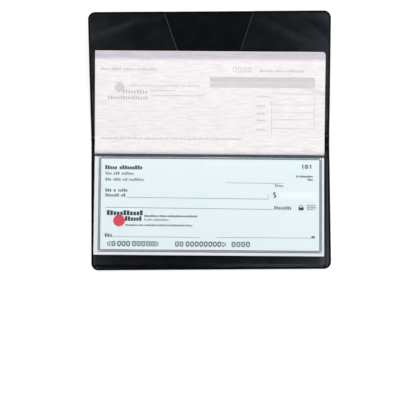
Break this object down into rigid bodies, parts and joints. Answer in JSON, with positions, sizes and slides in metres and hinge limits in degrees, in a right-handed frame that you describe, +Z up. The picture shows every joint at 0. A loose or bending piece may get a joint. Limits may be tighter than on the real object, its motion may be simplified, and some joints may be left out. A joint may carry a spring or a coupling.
{
  "type": "checkbook cover",
  "caption": "Soft vinyl checkbook cover, open, with a bound pad of checks and copies in its lower pocket and two slanted pocket flaps on its upper panel.",
  "frame": {"origin": "on the table, under the middle of the open cover's box", "axes": "+X to the right, +Y from the lower panel with the pad towards the upper panel, +Z up from the table"},
  "size_m": [0.16, 0.1702, 0.0126],
  "materials": {
    "outer_vinyl": "fine-grained soft vinyl",
    "pocket_vinyl": "smooth soft vinyl, satin",
    "board": "grey-brown chipboard",
    "check_paper": "pale blue safety paper",
    "copy_paper": "thin coated copy paper",
    "binding_strip": "dark slate paper strip",
    "staple_wire": "bright wire",
    "print_grey": "printing ink",
    "print_red": "printing ink"
  },
  "bodies": {
    "lower_panel": {"lower_cover": "outer_vinyl", "lower_pocket": "pocket_vinyl", "backing_board": "board", "binding_tape": "binding_strip", "staples": "staple_wire", "check_01": "check_paper", "check_02": "check_paper", "check_03": "check_paper", "check_04": "check_paper", "check_05": "check_paper", "check_06": "check_paper", "check_07": "check_paper", "check_08": "check_paper", "check_09": "check_paper", "check_10": "check_paper", "check_11": "check_paper", "check_12": "check_paper", "copy_01": "copy_paper", "copy_02": "copy_paper", "copy_03": "copy_paper", "copy_04": "copy_paper", "copy_05": "copy_paper", "copy_06": "copy_paper", "copy_07": "copy_paper", "copy_08": "copy_paper", "copy_09": "copy_paper", "copy_10": "copy_paper", "copy_11": "copy_paper", "copy_12": "copy_paper"},
    "fold": {"fold_strip": "outer_vinyl"},
    "upper_panel": {"upper_cover": "outer_vinyl", "left_flap": "pocket_vinyl", "right_flap": "pocket_vinyl"},
    "turned_leaf": {"turned_copy": "copy_paper"}
  },
  "joints": [
    {"name": "lower_bend", "type": "hinge", "parent": "lower_panel", "child": "fold", "pos_m": [0, -0.00242, 0.00045], "axis": [1, 0, 0], "range_deg": [0, 86]},
    {"name": "upper_bend", "type": "hinge", "parent": "fold", "child": "upper_panel", "pos_m": [0, 0.00316, 0.00084], "axis": [1, 0, 0], "range_deg": [0, 86]},
    {"name": "copy_turn", "type": "hinge", "parent": "lower_panel", "child": "turned_leaf", "pos_m": [-0.00057, -0.00804, 0.00515], "axis": [0.9999, -0.0148, 0], "range_deg": [0, 176.26]}
  ],
  "couplings": [
    {"joint": "upper_bend", "follows": "lower_bend", "ratio": 1},
    {"joint": "copy_turn", "follows": "lower_bend", "ratio": 2.0496}
  ]
}
